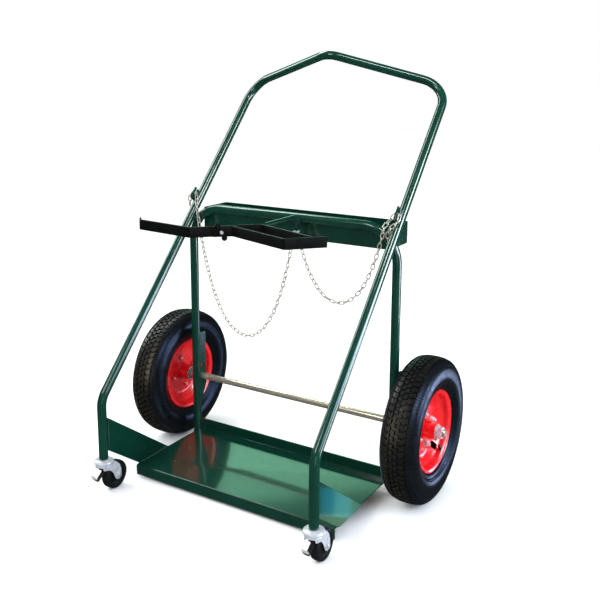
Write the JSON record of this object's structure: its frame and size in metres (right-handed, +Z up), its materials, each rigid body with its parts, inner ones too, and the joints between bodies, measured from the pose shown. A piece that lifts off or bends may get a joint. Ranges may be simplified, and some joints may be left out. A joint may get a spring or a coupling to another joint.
{
  "type": "gas cylinder cart",
  "caption": "Wheeled steel cart for a pair of welding gas cylinders: leaning tube hoop, base tray, clamp, chains, pneumatic wheels and braked castors.",
  "frame": {"origin": "on the ground under the middle of the overall box", "axes": "+X the cart's right-hand side seen from the castor end, +Y from the castors towards the wheels and the handle, +Z up"},
  "size_m": [0.968, 0.7907, 1.2133],
  "materials": {
    "green_enamel": "glossy dark green enamel",
    "red_enamel": "glossy bright red enamel",
    "black_paint": "satin black paint",
    "zinc": "bright zinc plate",
    "axle_zinc": "drawn bar, zinc plated, slightly yellow",
    "chain_zinc": "zinc plated links",
    "tyre_rubber": "moulded block tread, smooth sidewall",
    "tube_rubber": "smooth butyl",
    "castor_rubber": "satin black rubber"
  },
  "bodies": {
    "frame": {"main_hoop": "green_enamel", "inner_hoop": "green_enamel", "tool_tray": "green_enamel", "base_tray": "green_enamel", "side_gusset_left": "green_enamel", "side_gusset_right": "green_enamel", "axle_plate_left": "green_enamel", "axle_plate_right": "green_enamel", "axle": "axle_zinc", "axle_spacer_left": "axle_zinc", "axle_spacer_right": "axle_zinc", "axle_washer_left": "zinc", "axle_washer_right": "zinc", "axle_nut_left": "zinc", "axle_nut_right": "zinc", "clamp_bar": "black_paint", "clamp_bolt": "zinc", "centre_rod": "green_enamel", "anchor_tab": "green_enamel", "anchor_bolt": "zinc", "chain_hook_left": "green_enamel", "chain_hook_right": "green_enamel", "chain_left": "chain_zinc", "chain_right": "chain_zinc", "castor_stem_left": "zinc", "castor_stem_right": "zinc"},
    "wheel_left": {"tyre_left": "tyre_rubber", "inner_tube_left": "tube_rubber", "rim_outer_left": "red_enamel", "rim_inner_left": "red_enamel", "hub_left": "red_enamel", "bearing_outer_left": "zinc", "bearing_inner_left": "zinc", "valve_left": "black_paint"},
    "wheel_right": {"tyre_right": "tyre_rubber", "inner_tube_right": "tube_rubber", "rim_outer_right": "red_enamel", "rim_inner_right": "red_enamel", "hub_right": "red_enamel", "bearing_outer_right": "zinc", "bearing_inner_right": "zinc", "valve_right": "black_paint"},
    "castor_left": {"castor_fork_left": "zinc", "castor_axle_left": "zinc", "brake_pin_left": "zinc"},
    "castor_right": {"castor_fork_right": "zinc", "castor_axle_right": "zinc", "brake_pin_right": "zinc"},
    "castor_wheel_left": {"castor_wheel_left": "castor_rubber"},
    "castor_wheel_right": {"castor_wheel_right": "castor_rubber"},
    "brake_left": {"brake_pedal_left": "black_paint"},
    "brake_right": {"brake_pedal_right": "black_paint"},
    "clamp_arm": {"clamp_arm": "black_paint"},
    "wing_nut": {"wing_nut": "black_paint"}
  },
  "joints": [
    {"name": "wheel_left_spin", "type": "hinge", "parent": "frame", "child": "wheel_left", "pos_m": [-0.421, 0.0983, 0.2], "axis": [1, 0, 0], "continuous": true},
    {"name": "wheel_right_spin", "type": "hinge", "parent": "frame", "child": "wheel_right", "pos_m": [0.421, 0.0983, 0.2], "axis": [1, 0, 0], "continuous": true},
    {"name": "castor_left_swivel", "type": "hinge", "parent": "frame", "child": "castor_left", "pos_m": [-0.337, -0.3462, 0.088], "axis": [0, 0, 1], "continuous": true},
    {"name": "castor_right_swivel", "type": "hinge", "parent": "frame", "child": "castor_right", "pos_m": [0.337, -0.3462, 0.088], "axis": [0, 0, 1], "continuous": true},
    {"name": "castor_left_roll", "type": "hinge", "parent": "castor_left", "child": "castor_wheel_left", "pos_m": [-0.337, -0.3082, 0.04], "axis": [1, 0, 0], "continuous": true},
    {"name": "castor_right_roll", "type": "hinge", "parent": "castor_right", "child": "castor_wheel_right", "pos_m": [0.337, -0.3082, 0.04], "axis": [1, 0, 0], "continuous": true},
    {"name": "brake_left_press", "type": "hinge", "parent": "castor_left", "child": "brake_left", "pos_m": [-0.337, -0.3567, 0.0769], "axis": [1, 0, 0], "range_deg": [0, 12]},
    {"name": "brake_right_press", "type": "hinge", "parent": "castor_right", "child": "brake_right", "pos_m": [0.337, -0.3567, 0.0769], "axis": [1, 0, 0], "range_deg": [0, 12]},
    {"name": "clamp_arm_swing", "type": "hinge", "parent": "frame", "child": "clamp_arm", "pos_m": [-0.04298, -0.18995, 0.746], "axis": [0.724, -0.6898, 0], "range_deg": [0, 110]},
    {"name": "wing_nut_turn", "type": "hinge", "parent": "frame", "child": "wing_nut", "pos_m": [-0.04298, -0.18995, 0.746], "axis": [0.724, -0.6898, 0], "continuous": true}
  ]
}
